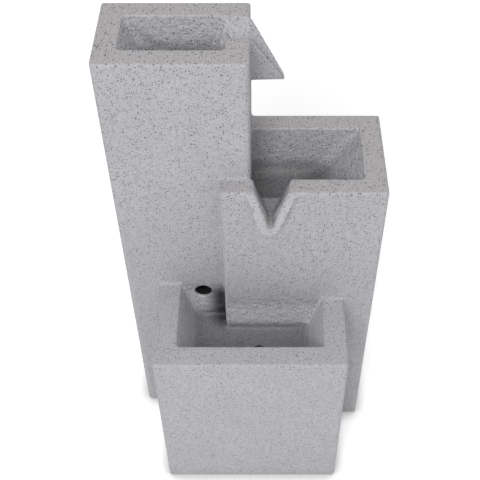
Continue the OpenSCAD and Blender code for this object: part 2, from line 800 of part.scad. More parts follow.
module pump_cover() {
    y0 = pump_y - half * pump_w;
    y1 = pump_y + half * pump_w;
    web_x = volute_x1 + half * cover_t;
    collar_r = intake_r + blade_t;
    socket_x0 = volute_x1 - cover_t + seat_gap;
    color(black_plastic) difference() {
        union() {
            box([volute_x1, y0, pump_z0], [cover_x1, y1, pump_z0 + pump_h]);
            rod_x(pump_y, axis_z, cover_x1, dial_x0 + dial_t + half * cage_wall, collar_r);
            rod_x(pump_y, axis_z, socket_x0, volute_x1, front_bush_r + half * blade_t);
        }
        rod_x(pump_y, axis_z, web_x, cage_x1, intake_r);
        rod_x(pump_y, axis_z, socket_x0 - overrun, volute_x1, front_bush_r);
        for (i = [1 : port_count]) translate([0, pump_y, axis_z]) rotate([360 / port_count * i, 0, 0])
            rod_x(0, intake_r - blade_t, socket_x0, cover_x1, half * blade_t);
    }
}

// Ring that turns on the cover's collar and uncovers its side ports
module flow_dial() {
    collar_r = intake_r + blade_t;
    port_ring_r = half * (dial_r + collar_r);
    lever_z = axis_z + dial_r - blade_t;
    color(blue_plastic) difference() {
        union() {
            rod_x(pump_y, axis_z, dial_x0, dial_x0 + dial_t, dial_r);
            box([dial_x0, pump_y - blade_t, lever_z],
                [dial_x0 + dial_t, pump_y + blade_t, lever_z + 3 * blade_t]);
        }
        rod_x(pump_y, axis_z, dial_x0 - overrun, dial_x0 + dial_t + overrun, collar_r + run_gap);
        for (i = [1 : port_count]) translate([0, pump_y, axis_z]) rotate([360 / port_count * i, 0, 0])
            rod_x(0, port_ring_r, dial_x0 - overrun, dial_x0 + dial_t + overrun, half * blade_t);
    }
}

module strainer_cage() {
    y0 = pump_y - half * pump_w;
    y1 = pump_y + half * pump_w;
    z0 = pump_z0;
    z1 = pump_z0 + pump_h;
    w = cage_wall;
    pitch = 2 * slot_w;
    first_y = pump_y - half * (front_slots - 1) * pitch - half * slot_w;
    color(black_plastic) difference() {
        box([cover_x1, y0, z0], [cage_x1, y1, z1]);
        box([cover_x1 - overrun, y0 + w, z0 + w], [cage_x1 - w, y1 - w, z1 - w]);
        for (i = [0 : front_slots - 1]) box([cage_x1 - w - overrun, first_y + i * pitch, z0 + 2 * w],
            [cage_x1 + overrun, first_y + i * pitch + slot_w, z1 - 2 * w]);
        for (i = [1 : side_slots]) box([cover_x1 + i * pitch, y0 - overrun, z0 + 2 * w],
            [cover_x1 + i * pitch + slot_w, y1 + overrun, z1 - 2 * w]);
    }
}

module filter_sponge() {
    in = cage_wall + seat_gap;
    x0 = dial_x0 + dial_t + cage_wall;
    color([0.2, 0.2, 0.22]) box([x0, pump_y - half * pump_w + in, pump_z0 + in],
        [cage_x1 - in, pump_y + half * pump_w - in, pump_z0 + pump_h - in]);
}

module impeller() {
    x0 = volute_x0 + 2 * seat_gap;
    x1 = volute_x1 - cover_t;
    hub_r = magnet_r - blade_t;
    color([0.85, 0.85, 0.82]) difference() {
        union() {
            rod_x(pump_y, axis_z, x0, x0 + blade_t, impeller_r);
            rod_x(pump_y, axis_z, x0, x1, 2 * shaft_r + blade_t);
            for (i = [0 : blade_count - 1])
                translate([0, pump_y, axis_z]) rotate([360 / blade_count * i, 0, 0])
                    box([x0, -half * blade_t, shaft_r + blade_t], [x1, half * blade_t, impeller_r - thin]);
        }
        rod_x(pump_y, axis_z, x0 - overrun, x1 + overrun, shaft_r + run_gap);
    }
}

module rotor_magnet() {
    x1 = volute_x0 + 2 * seat_gap;
    color([0.16, 0.15, 0.15]) difference() {
        rod_x(pump_y, axis_z, x1 - magnet_len, x1, magnet_r);
        rod_x(pump_y, axis_z, x1 - magnet_len - overrun, x1 + overrun, shaft_r + run_gap);
    }
}

shaft_x0 = volute_x0 - magnet_len - volute_len + blade_t;
shaft_x1 = volute_x1 - seat_gap;

module pump_shaft() {
    color([0.93, 0.93, 0.9]) rod_x(pump_y, axis_z, shaft_x0, shaft_x1, shaft_r);
}

// Rubber bushes that hold the shaft's two ends
module shaft_bushes() {
    back_x1 = volute_x0 + 2 * seat_gap - magnet_len - seat_gap;
    back_x0 = volute_x0 - magnet_len - volute_len;
    front_x0 = volute_x1 - cover_t + seat_gap;
    color(black_rubber) {
        difference() {
            rod_x(pump_y, axis_z, back_x0, back_x1, bush_r);
            rod_x(pump_y, axis_z, shaft_x0, back_x1 + overrun, shaft_r);
        }
        difference() {
            rod_x(pump_y, axis_z, front_x0, volute_x1, front_bush_r);
            rod_x(pump_y, axis_z, front_x0 - overrun, shaft_x1, shaft_r);
        }
    }
}

// Barb between the pump's outlet and the riser hose
module outlet_adapter() {
    color(black_plastic) difference() {
        union() {
            rod_z(tall_mid_x, outlet_y, outlet_top, hose_z0, outlet_r);
            rod_z(tall_mid_x, outlet_y, outlet_top - outlet_rise * half, outlet_top,
                bore_share * outlet_r - seat_gap);
            rod_z(tall_mid_x, outlet_y, hose_z0, hose_z0 + hose_grip, barb_r);
        }
        rod_z(tall_mid_x, outlet_y, outlet_top - outlet_rise, hose_z0 + hose_grip + overrun, barb_bore);
    }
}

module riser_hose() {
    color([0.8, 0.82, 0.84]) difference() {
        rod_z(tall_mid_x, outlet_y, hose_z0, hose_z1, hose_r);
        rod_z(tall_mid_x, outlet_y, hose_z0 - overrun, hose_z1 + overrun, hose_in_r);
    }
}

// Spring clamps with two ears, one at each end of the hose
module hose_clamps() {
    h = half * hose_grip;
    ear = 2 * hose_wall;
    color("silver") for (z = [hose_z0 + half * h, hose_z1 - half * h - h]) difference() {
        union() {
            rod_z(tall_mid_x, outlet_y, z, z + h, hose_r + blade_t);
            box([tall_mid_x - ear, outlet_y + hose_r, z + third * h],
                [tall_mid_x + ear, outlet_y + hose_r + blade_t + ear, z + 2 * third * h]);
        }
        rod_z(tall_mid_x, outlet_y, z - overrun, z + h + overrun, hose_r);
        box([tall_mid_x - ear + blade_t, outlet_y + half * hose_r, z - overrun],
            [tall_mid_x + ear - blade_t, outlet_y + hose_r + 2 * ear, z + h + overrun]);
    }
}

// Bulkhead fitting through the top bowl's floor, with the jet nozzle above and the hose barb below
module inlet_fitting() {
    flange_z = top_floor_z + seal_t;
    color(black_plastic) difference() {
        union() {
            rod_z(tall_mid_x, inlet_y, flange_z, flange_z + flange_t, flange_r);
            rod_z(tall_mid_x, inlet_y, flange_z, flange_z + flange_t + nozzle_h, stem_r);
            rod_z(tall_mid_x, inlet_y, hose_z1, flange_z + flange_t, stem_r);
            rod_z(tall_mid_x, inlet_y, stem_z0, hose_z1, barb_r);
        }
        rod_z(tall_mid_x, inlet_y, stem_z0 - overrun, flange_z + flange_t + nozzle_h + overrun, barb_bore);
    }
}

module inlet_seal() {
    color(black_rubber) difference() {
        rod_z(tall_mid_x, inlet_y, top_floor_z, top_floor_z + seal_t, flange_r);
        rod_z(tall_mid_x, inlet_y, top_floor_z - overrun, top_floor_z + overrun, stem_r + seat_gap);
    }
}

module inlet_nut() {
    color(black_plastic) difference() {
        translate([tall_mid_x, inlet_y, nut_z0]) cylinder(h = nut_t, r = flange_r, $fn = 6);
        rod_z(tall_mid_x, inlet_y, nut_z0 - overrun, hollow_top + overrun, stem_r + run_gap);
    }
}

// Overflow return: a spigot in the tall pot's front wall, a bend and a drop pipe into the tub
module return_elbow() {
    in_r = return_r - return_wall;
    spigot_r = overflow_r - run_gap;
    color(black_plastic) difference() {
        union() {
            rod_y(overflow_x, overflow_z, spigot_y, inner_y0, spigot_r);
            rod_y(overflow_x, overflow_z, inner_y0, bend_y, return_r + flange_t);
            bend(return_r);
            rod_z(overflow_x, return_y, return_low, overflow_z - return_bend, return_r);
        }
        rod_y(overflow_x, overflow_z, spigot_y - overrun, bend_y, spigot_r - return_wall * half);
        bend(in_r);
        rod_z(overflow_x, return_y, return_low - overrun, overflow_z - return_bend, in_r);
    }
}

// Quarter bend from +Y down to -Z
module bend(r) {
    translate([overflow_x, bend_y, overflow_z - return_bend]) rotate([90, 0, 90])
        rotate_extrude(angle = 90) translate([return_bend, 0]) circle(r);
}

// Drain: a stand pipe from the basin's floor to the underside, closed by a rubber plug
module drain_pipe() {
    out_r = drain_r + wall * third;
    top = basin_floor_z - bowl_floor;
    color(black_plastic) difference() {
        union() {
            rod_z(drain_x, drain_y, foot_gap, top, out_r);
            rod_z(drain_x, drain_y, top - flange_t, top, out_r + 2 * flange_t);
        }
        rod_z(drain_x, drain_y, 0, basin_floor_z, drain_r);
    }
}

module drain_plug() {
    grip_h = 2 * flange_t;
    plug_top = basin_floor_z - flange_t;
    color(black_rubber) {
        rod_z(drain_x, drain_y, plug_top - bowl_floor, plug_top, drain_r - run_gap);
        rod_z(drain_x, drain_y, plug_top, plug_top + grip_h, third * drain_r);
        rod_z(drain_x, drain_y, plug_top + grip_h, plug_top + grip_h + flange_t, half * drain_r);
    }
}

tall_column();
middle_column();
front_basin();
upper_spout();
lower_spout();
seam_fillets();
tall_base_plate();
middle_base_plate();
basin_base_plate();
foot_pads();
service_door();
door_seal();
door_screws();
door_inserts();
cord_grommet();
reservoir_tub();
pump_housing();
suction_cups();
pump_cover();
flow_dial();
strainer_cage();
filter_sponge();
impeller();
rotor_magnet();
pump_shaft();
shaft_bushes();
outlet_adapter();
riser_hose();
hose_clamps();
inlet_fitting();
inlet_seal();
inlet_nut();
return_elbow();
drain_pipe();
drain_plug();
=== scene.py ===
import json
import math

import bpy
import numpy as np
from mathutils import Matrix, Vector


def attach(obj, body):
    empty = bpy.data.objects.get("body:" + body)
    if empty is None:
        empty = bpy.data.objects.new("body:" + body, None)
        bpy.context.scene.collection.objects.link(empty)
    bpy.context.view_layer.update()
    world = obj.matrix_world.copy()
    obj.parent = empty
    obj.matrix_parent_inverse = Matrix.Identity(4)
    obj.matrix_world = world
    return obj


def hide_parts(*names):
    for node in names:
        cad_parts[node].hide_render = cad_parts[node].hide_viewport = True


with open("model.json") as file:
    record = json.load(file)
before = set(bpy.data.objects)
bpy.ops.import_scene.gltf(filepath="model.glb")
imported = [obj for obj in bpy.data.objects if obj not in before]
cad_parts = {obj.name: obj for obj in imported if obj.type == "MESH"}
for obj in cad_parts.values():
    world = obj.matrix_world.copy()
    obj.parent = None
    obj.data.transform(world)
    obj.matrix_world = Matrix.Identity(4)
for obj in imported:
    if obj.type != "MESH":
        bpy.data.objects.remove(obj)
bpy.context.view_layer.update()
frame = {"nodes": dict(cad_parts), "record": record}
MM = 0.001


# The castings are one field of signed distances in millimetres, so that the pots flow
# into each other with soft corners, as the cast resin does.

def rmax(a, b, r):
    """Intersection with an edge rounded to radius r."""
    return np.minimum(np.maximum(a, b), -r) + np.sqrt(np.maximum(a + r, 0) ** 2 + np.maximum(b + r, 0) ** 2)


def rmin(a, b, r):
    """Union with a concave fillet of radius r."""
    return -rmax(-a, -b, r)


def plan_box(x, y, x0, x1, y0, y1, r):
    """Rectangle in plan with corners of radius r."""
    qx = np.abs(x - (x0 + x1) / 2) - (x1 - x0) / 2 + r
    qy = np.abs(y - (y0 + y1) / 2) - (y1 - y0) / 2 + r
    return np.sqrt(np.maximum(qx, 0) ** 2 + np.maximum(qy, 0) ** 2) + np.minimum(np.maximum(qx, qy), 0) - r


def line(v, a, b, low, high):
    """From low at a to high at b, straight between them."""
    return low + (high - low) * np.clip((v - a) / (b - a), 0, 1)


def bend(v, a, b, at_a, at_zero, at_b):
    """From at_a at a over at_zero at 0 to at_b at b, straight in between."""
    return line(v, a, 0, at_a, at_zero) + line(v, 0, b, 0, at_b - at_zero)


TALL_TOP, MID_TOP, BASIN_TOP = 800, 600, 360
TALL_FLOOR, MID_FLOOR, BASIN_FLOOR = 722, 520, 278
RIM_EDGE = 4.0
MOUTH_EDGE = 3.0
SEAM = 6.0
LIP = 4.0
BACK = 150

# Each pot: plan (x0, x1, y0, y1, corner radius) and top, then its bowl: plan at the rim, floor,
# how far the four walls lean in, cove round the floor
TALL = ((-200, 4, 10, 190, 9), TALL_TOP, (-167.5, -28.5, 42.5, 117.5), TALL_FLOOR, (36, 24, 9, 9), 15)
MID = ((-40, 200, -20, 190, 5), MID_TOP, (-60, 167, 10, 117), MID_FLOOR, (0, 62, 10, 12), 17)
BASIN = ((-148, 152, -150, 80, 6), BASIN_TOP, (-112, 116, -114, 100), BASIN_FLOOR, (22, 23, 12, 0), 17)

# Beaks: the lower one is wider on its right side
UPPER_BEAK = dict(near=27, far=27, near_tip=6, far_tip=6, drop=81, reach=49, keel=9, edge=2.0)
LOWER_BEAK = dict(near=37, far=40, near_tip=16, far_tip=11, drop=55, reach=31, keel=9, edge=3.0)

# Round holes: two coordinates of the axis and the radius
OVERFLOW = (-77, 340, 14.2)
DRAIN = (15, -65, 10)
INLET = (-98, 77.6, 8)
CORD_OUTLET = (-155.12, 306.5, 8.2)

# Hollows under the pots: plan and ceiling
HOLLOWS = (((-190, -6, 20, 134, 3), 710), ((14, 190, -10, 140, 3), 508),
           ((-138, 142, -140, -30, 3), 266), ((-138, -50, -140, 0, 3), 266))

# Door in the back wall: outline in x and z, and the y that the recess reaches in to
DOOR_STEPS = (((-182.2, -13.8, 18.3, 282.7, 8), 142.8), ((-170, -26, 30.5, 270.5, 8), 126))
DOOR_MIDDLE = (-98, 150.5)
DOOR_SCREWS = (76.3, 124.3, 3.2)


def walls(v, low, high, in_low, in_high, down, rise):
    """Two opposite walls of a bowl, each leaning in towards the floor."""
    sides = []
    for side, at, inset in ((-1, low, in_low), (1, high, in_high)):
        lean = inset / rise
        sides.append((side * (v - at) + lean * down) / math.sqrt(1 + lean * lean))
    return np.maximum(*sides)


def bowl(x, y, z, top, box, floor, slopes, cove):
    """Bowl with leaning walls, corners that get rounder with depth and a cove round its floor."""
    rise = top - MOUTH_EDGE - floor
    down = np.maximum(top - MOUTH_EDGE - z, 0)
    across = walls(x, box[0], box[1], slopes[0], slopes[1], down, rise)
    along = walls(y, box[2], box[3], slopes[2], slopes[3], down, rise)
    return rmax(rmax(across, along, 6 + 12 * np.minimum(down / rise, 1)), floor - z, cove)


def pot(x, y, z, plan, top, *bowl_sizes):
    """One pot with a rounded rim and its bowl."""
    block = rmax(plan_box(x, y, *plan), z - top, RIM_EDGE)
    return rmax(block, -bowl(x, y, z, top, *bowl_sizes), MOUTH_EDGE)


def round_hole(u, v, at_u, at_v, r):
    """Cylinder along the third axis."""
    return np.hypot(u - at_u, v - at_v) - r


def channel(t, z, near, far, bottom, depth, r):
    """Groove section: sides lean from the top half widths to the bottom half width, round at the bottom."""
    low = np.minimum(z, 0)
    lean_near = (near - bottom) / depth
    lean_far = (far - bottom) / depth
    side_near = (-t - near - low * lean_near) / np.sqrt(1 + lean_near ** 2)
    side_far = (t - far - low * lean_far) / np.sqrt(1 + lean_far ** 2)
    return rmax(rmax(side_near, side_far, 1.0), -depth - z, r)


def beak(s, t, z, near, far, near_tip, far_tip, drop, reach, keel, edge):
    """Beak: flat flanks from the rim to the lip, a top that falls to the lip, a level round keel."""
    flanks = []
    for side, half, tip in ((-1, near, near_tip), (1, far, far_tip)):
        a = np.array([0.0, half, 0.0])
        n = np.cross(np.array([0.0, keel, keel - drop - LIP]) - a, np.array([reach - LIP, tip, -drop]) - a)
        n *= np.sign(n[1]) / np.linalg.norm(n)
        flanks.append(n[0] * s + n[1] * (side * t - half) + n[2] * z)
    fall = (drop - LIP) / (reach - LIP)
    top = np.maximum(z + LIP, (z + fall * s) / math.sqrt(1 + fall * fall))
    body = rmax(rmax(np.maximum(*flanks), -drop - LIP - z, keel), top, edge)
    return rmax(body, s - reach, 5.0)


def field(x, y, z):
    """Signed distance of the cast body, negative in the resin."""
    f = rmin(pot(x, y, z, *TALL), pot(x, y, z, *MID), SEAM)
    f = rmin(f, pot(x, y, z, *BASIN), SEAM)
    # Beaks: s runs out from the face that they leave, t across
    su, tu = x - 4, y - 90
    f = rmin(f, np.maximum(beak(su, tu, z - TALL_TOP, **UPPER_BEAK), -su - 12), 3.0)
    sl, tl = -20 - y, x - 32
    f = rmin(f, np.maximum(beak(sl, tl, z - MID_TOP, **LOWER_BEAK), -sl - 12), 4.0)
    # Grooves from the bowls over the faces to the lips: their sides meet in a valley down the beak
    half, depth = bend(su, -32.5, 45, 27, 23.5, 2.5), bend(su, -32.5, 45, 32, 36, 2)
    cut = channel(tu, z - TALL_TOP - line(su, 0, 45, 0, -76.5), half, half,
                  line(su, -32.5, 0, 6, 2), depth, line(su, 0, 45, 7, 2))
    f = rmax(f, -np.maximum(cut, -su - 46), 1.6)
    near, far = bend(sl, -30, 27, 26, 23, 3), bend(sl, -30, 27, 29, 25, 3)
    depth = bend(sl, -30, 27, 43, 44, 2)
    cut = channel(tl, z - MID_TOP - line(sl, 0, 27, 0, -49.5), near, far,
                  line(sl, -30, 5, 15, 1), depth, line(sl, 0, 27, 5, 3))
    f = rmax(f, -np.maximum(cut, -sl - 44), 3.0)
    # Back and underside
    f = rmax(f, y - BACK, 4.0)
    f = rmax(f, 1.5 - z, 1.5)
    # Water holes in the niche, in the basin's floor and in the top bowl's floor
    f = rmax(f, -np.maximum(round_hole(x, z, *OVERFLOW), np.maximum(-y, y - 40)), 1.0)
    f = rmax(f, -np.maximum(round_hole(x, y, *DRAIN), z - 330), 1.2)
    f = np.maximum(f, -np.maximum(round_hole(x, y, *INLET), np.abs(z - 716) - 14))
    for plan, ceiling in HOLLOWS:
        f = np.maximum(f, -np.maximum(plan_box(x, y, *plan), z - ceiling))
    # Back wall: door, its screws and the cord outlet
    for outline, reach in DOOR_STEPS:
        f = np.maximum(f, -np.maximum(plan_box(x, z, *outline), reach - y))
    screws = round_hole(np.abs(x - DOOR_MIDDLE[0]), np.abs(z - DOOR_MIDDLE[1]), *DOOR_SCREWS)
    f = np.maximum(f, -np.maximum(screws, 135.8 - y))
    return np.maximum(f, -np.maximum(round_hole(x, z, *CORD_OUTLET), 128 - y))


def piece_of(x, y, z):
    """Which casting a point of the body belongs to, 1 to 5."""
    tall = (x < 4) & (y > 10)
    mid = ~tall & (x > -40) & (y > -20)
    part = np.where(tall, 1, np.where(mid, 2, 3))
    part = np.where((part == 2) & (x > 4) & (z > 640), 4, part)
    return np.where((part == 3) & (z > 450), 5, part)


# Sizes of the mesh, in millimetres where they are lengths
NUDGE = 0.02    # step of the gradient
GRAZE = 0.3     # least slope at which a crossing is moved onto the surface
STILL = 1e9     # slope that leaves a crossing where it is
PULL = 0.02     # pull of each vertex towards the middle of its crossings
SAME = 0.003    # corners closer than this lie on one line
CREASE = 0.8    # cosine under which a corner keeps its face's own normal
LABELS = 8      # more than there are castings


def grid_lines(low, high, soft, hard, zones):
    """Grid lines along one axis: close together at rounded edges and in the zones, wide apart on flats."""
    widest, closest = 24, 0.75
    marks = [low, high]
    for at, r in soft:
        step = r / 4
        marks += [at + step * (k + 0.5) for k in range(-6, 6)]
    for at in hard:
        marks += [at - 0.4, at + 0.4]
    for a, b, step in zones:
        n = int(round((b - a) / step))
        marks += [a + (b - a) * k / n for k in range(n + 1)]
    planes = [p for p, _ in soft] + list(hard)
    marks = sorted(m for m in marks if low <= m <= high)
    kept = [marks[0]]
    for m in marks[1:]:
        crosses = any(kept[-1] < p < m for p in planes)
        if m - kept[-1] >= closest or crosses:
            kept.append(m)
    out = []
    for a, b in zip(kept, kept[1:]):
        n = max(1, math.ceil((b - a) / widest))
        out += [a + (b - a) * k / n for k in range(n)]
    return np.array(out + [kept[-1]], np.float64)


xs = grid_lines(
    -206, 206,
    soft=[(-200, 5), (-167.5, 4), (-148, 5), (-112, 4), (-40, 5), (-28.5, 4), (4, 4), (116, 4),
          (152, 5), (167, 4), (200, 5)],
    hard=[-190, -182.2, -170, -138, -50, -26, -13.8, -6, 14, 142, 190],
    zones=[(-167, -149, 2.6), (-48, -29, 2.6), (4, 52, 2), (-3, 66, 2), (148, 167, 2.6),
           (-112, -94, 2.6), (98, 116, 2.6), (-94, -60, 2), (-178, -170.5, 1.2), (-25, -18, 1.2),
           (-164, -146, 1.5), (3, 27, 2)])
ys = grid_lines(
    -156, 156,
    soft=[(-150, 5), (-114, 4), (-20, 5), (10, 4), (42.5, 4), (117.5, 4), (150, 4)],
    hard=[-140, -30, -10, 0, 20, 117, 126, 134, 135.8, 140, 142.8],
    zones=[(-114, -96, 2.6), (-54, -20, 2), (10, 26, 2.6), (42, 120, 2.2), (-77, -53, 2)])
zs = grid_lines(
    -4, 806,
    soft=[(BASIN_TOP, 4), (MID_TOP, 4), (TALL_TOP, 4), (1.5, 2)],
    hard=[18.3, 30.5, 266, 270.5, BASIN_FLOOR, 282.7, 508, MID_FLOOR, 710, TALL_FLOOR],
    zones=[(22, 31, 1.2), (270, 279, 1.2), (278, 296, 2.6), (297, 316, 1.5), (324, 356, 2),
           (520, 538, 2.6), (536, 600, 2), (700, 800, 2)])


def field_grid():
    """Field at every crossing of the grid lines."""
    slab = 16
    f = np.empty((len(xs), len(ys), len(zs)), np.float32)
    for k in range(0, len(zs), slab):
        f[:, :, k:k + slab] = field(xs[:, None, None], ys[None, :, None], zs[None, None, k:k + slab])
    return f


def gradient(p):
    """Unit gradient of the field at points p."""
    g = np.empty_like(p)
    for a in range(3):
        step = np.zeros(3)
        step[a] = NUDGE
        hi, lo = p + step, p - step
        g[:, a] = field(hi[:, 0], hi[:, 1], hi[:, 2]) - field(lo[:, 0], lo[:, 1], lo[:, 2])
    return g / np.maximum(np.linalg.norm(g, axis=1, keepdims=True), 1e-9)


def crossings(lines):
    """Where grid lines cross a surface: point, normal, cells around, pieces at both ends, grid place."""
    f = field_grid()
    pieces = piece_of(xs[:, None, None], ys[None, :, None], zs[None, None, :])
    label = np.where(f < 0, pieces, 0).astype(np.int8)
    cells = tuple(n - 1 for n in f.shape)
    points, normals, quads, ends, place = [], [], [], [], []
    for a in range(3):
        low = [slice(None)] * 3
        high = [slice(None)] * 3
        low[a], high[a] = slice(None, -1), slice(1, None)
        la, lb = label[tuple(low)], label[tuple(high)]
        at = np.array(np.nonzero(la != lb))
        la, lb = la[tuple(at)], lb[tuple(at)]
        fa, fb = f[tuple(low)][tuple(at)], f[tuple(high)][tuple(at)]
        outer = (la == 0) | (lb == 0)
        share = np.where(outer, fa / np.where(fa == fb, 1, fa - fb), 0.5)
        gap = lines[a][at[a] + 1] - lines[a][at[a]]
        p = np.stack([lines[b][at[b]] for b in range(3)], 1)
        p[:, a] += share * gap
        # One step of Newton's rule puts the crossing on the surface where the field bends
        g = np.zeros_like(p)
        g[:, a] = 1
        g[outer] = gradient(p[outer])
        slope = g[outer][:, a]
        slope = np.where(np.abs(slope) < GRAZE, STILL, slope)
        q = p[outer]
        fix = field(q[:, 0], q[:, 1], q[:, 2]) / slope
        half = 0.5 * gap[outer]
        q[:, a] = np.clip(q[:, a] - fix, q[:, a] - half, q[:, a] + half)
        p[outer] = q
        b, c = [(1, 2), (2, 0), (0, 1)][a]
        ring = []
        for db, dc in ((1, 1), (0, 1), (0, 0), (1, 0)):
            cell = [at[0], at[1], at[2]]
            cell[b] = cell[b] - db
            cell[c] = cell[c] - dc
            ring.append(np.ravel_multi_index(cell, cells))
        points.append(p)
        normals.append(g)
        quads.append(np.stack(ring, 1))
        ends.append(np.stack([la, lb], 1))
        place.append(np.stack([np.full(len(la), a), at[0], at[1], at[2]], 1))
    return [np.concatenate(table) for table in (points, normals, quads, ends, place)]


def contour():
    """Dual contouring on the uneven grid: one vertex in each cell that the surface crosses."""
    lines = (xs, ys, zs)
    cells = tuple(len(marks) - 1 for marks in lines)
    p, n, quads, ends, place = crossings(lines)
    used, quads = np.unique(quads, return_inverse=True)
    quads = quads.reshape(-1, 4)
    m = len(used)
    # Mean of each cell's crossings, then the point that lies closest to all their planes
    total = np.zeros(m)
    mean = np.zeros((m, 3))
    for c in range(4):
        total += np.bincount(quads[:, c], minlength=m)
        for a in range(3):
            mean[:, a] += np.bincount(quads[:, c], p[:, a], m)
    mean /= total[:, None]
    lhs = np.zeros((m, 3, 3))
    rhs = np.zeros((m, 3))
    for c in range(4):
        off = np.einsum("ij,ij->i", n, p - mean[quads[:, c]])
        for a in range(3):
            rhs[:, a] += np.bincount(quads[:, c], n[:, a] * off, m)
            for b in range(3):
                lhs[:, a, b] += np.bincount(quads[:, c], n[:, a] * n[:, b], m)
    lhs += np.eye(3) * PULL
    v = mean + np.linalg.solve(lhs, rhs[:, :, None])[:, :, 0]
    cell = np.stack(np.unravel_index(used, cells), 1)
    for a in range(3):
        v[:, a] = np.clip(v[:, a], lines[a][cell[:, a]], lines[a][cell[:, a] + 1])
    return v, quads, ends, place


def level(p, m, n, axes):
    """Whether corners m and n of each quad have the same place on the given axes."""
    return np.abs(p[:, m][:, axes] - p[:, n][:, axes]).max(1) < SAME


def merge_quads(v, quads, ends, place):
    """Merges the quads of flat and of straight rounded parts. A vertex stays where any face has a corner."""
    faces, sides = [], []
    corner = np.zeros(len(v), bool)
    for a in range(3):
        b, c = (a + 1) % 3, (a + 2) % 3
        sel = np.nonzero(place[:, 0] == a)[0]
        key = (place[sel, 1 + a] * LABELS + ends[sel, 0]) * LABELS + ends[sel, 1]
        order = np.argsort(key, kind="stable")
        sel, key = sel[order], key[order]
        for ids in np.split(sel, np.nonzero(np.diff(key))[0] + 1):
            u, w = place[ids, 1 + b], place[ids, 1 + c]
            u, w = u - u.min(), w - w.min()
            p = v[quads[ids]]
            along_b = level(p, 0, 1, [a, c]) & level(p, 3, 2, [a, c])
            along_c = level(p, 0, 3, [a, b]) & level(p, 1, 2, [a, b])
            kind = along_b * 1 + along_c * 2
            kinds = np.full((u.max() + 2, w.max() + 2), -1, np.int8)
            table = np.zeros(kinds.shape, np.int64)
            kinds[u, w], table[u, w] = kind, ids
            pair = ends[ids[0]]
            for u0, w0 in zip(u.tolist(), w.tolist()):
                k = kinds[u0, w0]
                if k < 0:
                    continue
                u1, w1 = u0, w0
                if k & 1:
                    while kinds[u1 + 1, w0] == k:
                        u1 += 1
                if k & 2:
                    while (kinds[u0:u1 + 1, w1 + 1] == k).all():
                        w1 += 1
                kinds[u0:u1 + 1, w0:w1 + 1] = -1
                block = quads[table[u0:u1 + 1, w0:w1 + 1]]
                ring = np.concatenate([block[:, 0, 0], block[-1, :, 1],
                                       block[::-1, -1, 2], block[0, ::-1, 3]])
                corner[[block[0, 0, 0], block[-1, 0, 1], block[-1, -1, 2], block[0, -1, 3]]] = True
                faces.append(ring)
                sides.append(pair)
    faces = [ring[corner[ring]] for ring in faces]
    return faces, np.array(sides)


def cast_piece(name, part, v, faces, sides, normals):
    """Mesh of one casting, its shading taken from the field."""
    tris = []
    for k in np.nonzero((sides[:, 0] == part) != (sides[:, 1] == part))[0]:
        ring = faces[k]
        tris.append(ring[::-1] if sides[k, 1] == part else ring)
    ids, flat = np.unique(np.concatenate(tris), return_inverse=True)
    cuts = np.cumsum([len(r) for r in tris])[:-1]
    polys = [r.tolist() for r in np.split(flat, cuts)]
    mesh = bpy.data.meshes.new(name)
    mesh.from_pydata((v[ids] * MM).tolist(), [], polys)
    corner = np.concatenate(polys)
    counts = [len(r) for r in polys]
    face = np.empty(len(polys) * 3, np.float32)
    mesh.polygons.foreach_get("normal", face)
    face = np.repeat(face.reshape(-1, 3), counts, axis=0)
    want = normals[ids][corner]
    sharp = np.einsum("ij,ij->i", want, face) < CREASE
    want[sharp] = face[sharp]
    mesh.shade_smooth()
    mesh.normals_split_custom_set(want.tolist())
    obj = bpy.data.objects.new(name, mesh)
    bpy.context.scene.collection.objects.link(obj)
    return obj


def fan_out(v, faces):
    """Faces with more than four vertices become fans of triangles around their middle."""
    extra, out, owner = [], [], []
    for k, ring in enumerate(faces):
        if len(ring) <= 4:
            out.append(ring)
            owner.append(k)
            continue
        hub = len(v) + len(extra)
        extra.append((v[ring].min(0) + v[ring].max(0)) / 2)
        for m, n in zip(ring, np.roll(ring, -1)):
            out.append(np.array([hub, m, n]))
            owner.append(k)
    return np.vstack([v, extra]), out, np.array(owner)


# The five castings, in the order of the numbers that piece_of gives, and the nodes they stand for
verts, quads, ends, place = contour()
faces, sides = merge_quads(verts, quads, ends, place)
verts, faces, owner = fan_out(verts, faces)
sides = sides[owner]
vertex_normals = gradient(verts)
replaced = {
    "tall_casting": ["tall_column", "seam_fillets"],
    "middle_casting": ["middle_column"],
    "basin_casting": ["front_basin"],
    "upper_beak": ["upper_spout"],
    "lower_beak": ["lower_spout"],
}
castings = []
for part, (name, nodes) in enumerate(replaced.items(), 1):
    obj = cast_piece(name, part, verts, faces, sides, vertex_normals)
    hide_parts(*nodes)
    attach(obj, "fountain")
    castings.append(obj)


